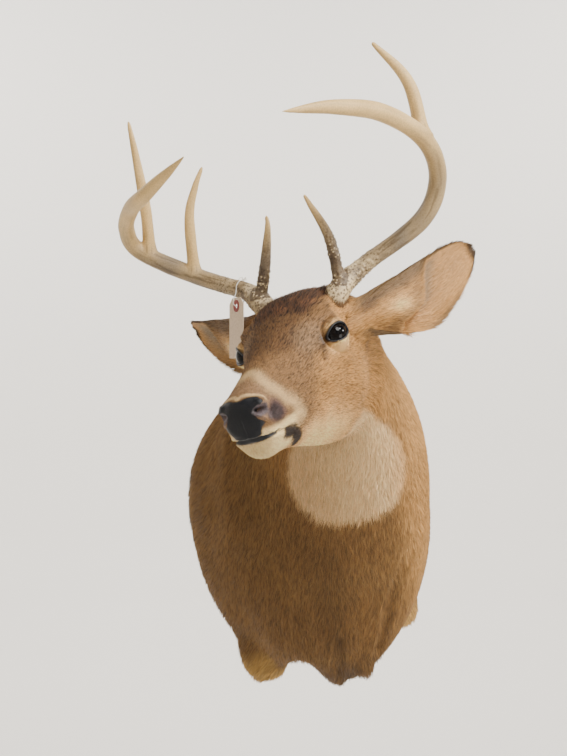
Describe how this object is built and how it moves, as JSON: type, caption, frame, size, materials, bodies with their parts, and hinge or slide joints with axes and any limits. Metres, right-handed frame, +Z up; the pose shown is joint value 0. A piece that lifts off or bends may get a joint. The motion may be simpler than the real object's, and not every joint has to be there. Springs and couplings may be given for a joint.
{
  "type": "whitetail buck shoulder mount",
  "caption": "Life-size whitetail buck head, neck and shoulders on a flat back board that hangs on a wall, head turned, with antlers and a blank string tag.",
  "frame": {"origin": "centre of the back face of the board, on the wall plane", "axes": "+Z up; +Y into the wall, out of the board's back face; +X to the right seen from the room, the buck's left"},
  "size_m": [0.473, 0.6771, 0.8921],
  "materials": {
    "coat": "short brown hair, lying flat",
    "pale_coat": "cream hair",
    "nose_leather": "black pebbled nose pad, painted satin",
    "eye": "dark polished glass eye",
    "antler": "bone, ivory with brown pearling at the base",
    "plywood": "bare sawn plywood",
    "steel": "zinc plated sheet",
    "tag_card": "manila tag card, bare",
    "tag_ring": "red fibre patch round the eye of the tag",
    "string": "white cotton string"
  },
  "bodies": {
    "root": {"eye_left": "eye", "eye_right": "eye", "nose": "nose_leather", "head": "coat", "lower_jaw": "pale_coat", "neck": "coat", "chest": "coat", "shoulders": "coat", "ear_left": "coat", "ear_right": "coat", "foreleg_stub_left": "pale_coat", "foreleg_stub_right": "pale_coat", "antler_left_beam_lower": "antler", "antler_left_beam_middle": "antler", "antler_left_beam_upper": "antler", "antler_left_brow_tine": "antler", "antler_left_tine_2": "antler", "antler_right_beam_lower": "antler", "antler_right_beam_middle": "antler", "antler_right_beam_upper": "antler", "antler_right_brow_tine": "antler", "antler_right_tine_2": "antler", "antler_right_tine_3": "antler", "back_board": "plywood", "hanger_plate": "steel", "tag_card": "tag_card", "tag_ring": "tag_ring", "tag_string": "string", "tag_knot": "string"}
  },
  "joints": []
}
